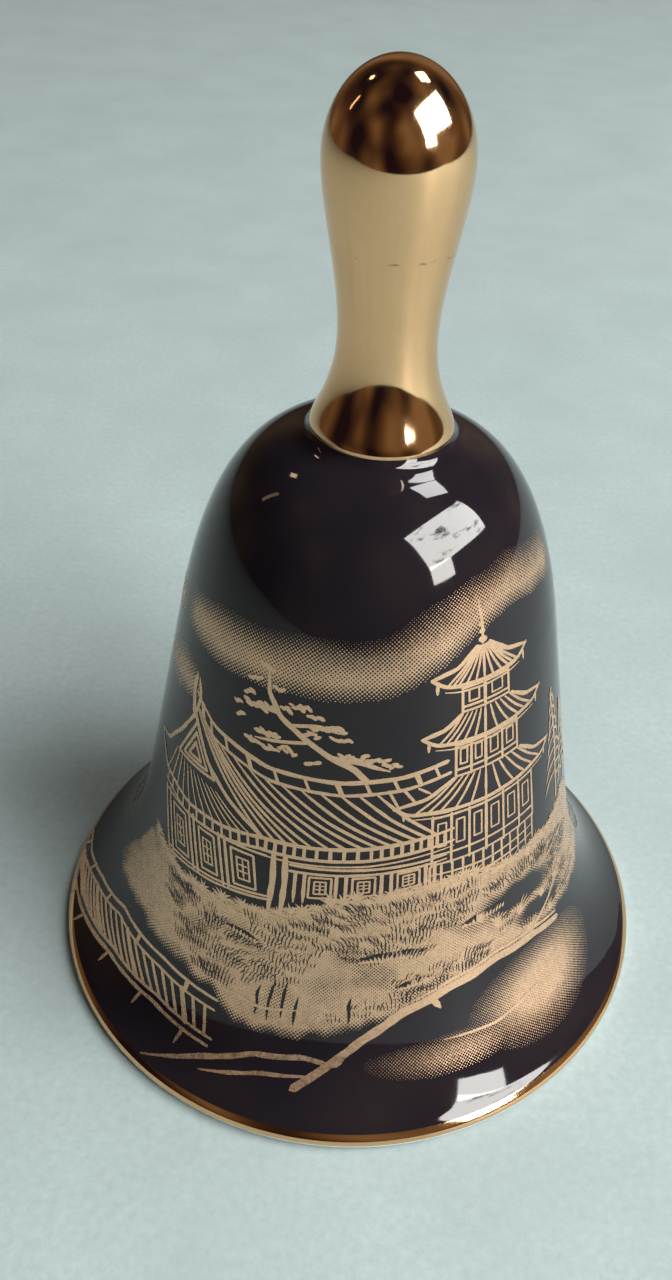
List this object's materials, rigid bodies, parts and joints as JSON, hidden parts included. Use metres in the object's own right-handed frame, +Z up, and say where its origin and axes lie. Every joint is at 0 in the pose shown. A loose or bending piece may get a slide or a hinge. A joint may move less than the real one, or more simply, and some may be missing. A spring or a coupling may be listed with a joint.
{
  "type": "hand bell",
  "caption": "Small glazed porcelain hand bell with a slender gilded handle and a ball clapper hung inside on a short wire chain.",
  "frame": {"origin": "centre of the lip's foot, on the surface that the bell stands on", "axes": "+Z up along the bell's axis, -Y towards the front of the decoration"},
  "size_m": [0.063, 0.063, 0.089],
  "materials": {
    "black_glaze": "glossy near-black glaze with a gilt scene",
    "gold_lustre": "bright gold lustre over glazed porcelain",
    "white_porcelain": "white glazed porcelain",
    "plaster": "matt off-white plaster",
    "brass_wire": "drawn brass wire, lightly tarnished"
  },
  "bodies": {
    "bell": {"bell_body": "black_glaze", "handle": "gold_lustre", "luting_ring": "gold_lustre", "crown_plug": "plaster", "hanger_loop": "brass_wire"},
    "link_1": {"chain_link_1": "brass_wire"},
    "link_2": {"chain_link_2": "brass_wire"},
    "link_3": {"chain_link_3": "brass_wire"},
    "clapper": {"clapper_pin": "brass_wire", "clapper_ball": "white_porcelain"}
  },
  "joints": [
    {"name": "link_1_swing", "type": "hinge", "parent": "bell", "child": "link_1", "pos_m": [0, 0, 0.0515], "axis": [1, 0, 0], "range_deg": [-12, 12]},
    {"name": "link_2_swing", "type": "hinge", "parent": "link_1", "child": "link_2", "pos_m": [0, 0, 0.0465], "axis": [0, 1, 0], "range_deg": [-12, 12]},
    {"name": "link_3_swing", "type": "hinge", "parent": "link_2", "child": "link_3", "pos_m": [0, 0, 0.0415], "axis": [1, 0, 0], "range_deg": [-6, 6]},
    {"name": "clapper_swing", "type": "hinge", "parent": "link_3", "child": "clapper", "pos_m": [0, 0, 0.0365], "axis": [0, 1, 0], "range_deg": [-9, 9]}
  ]
}
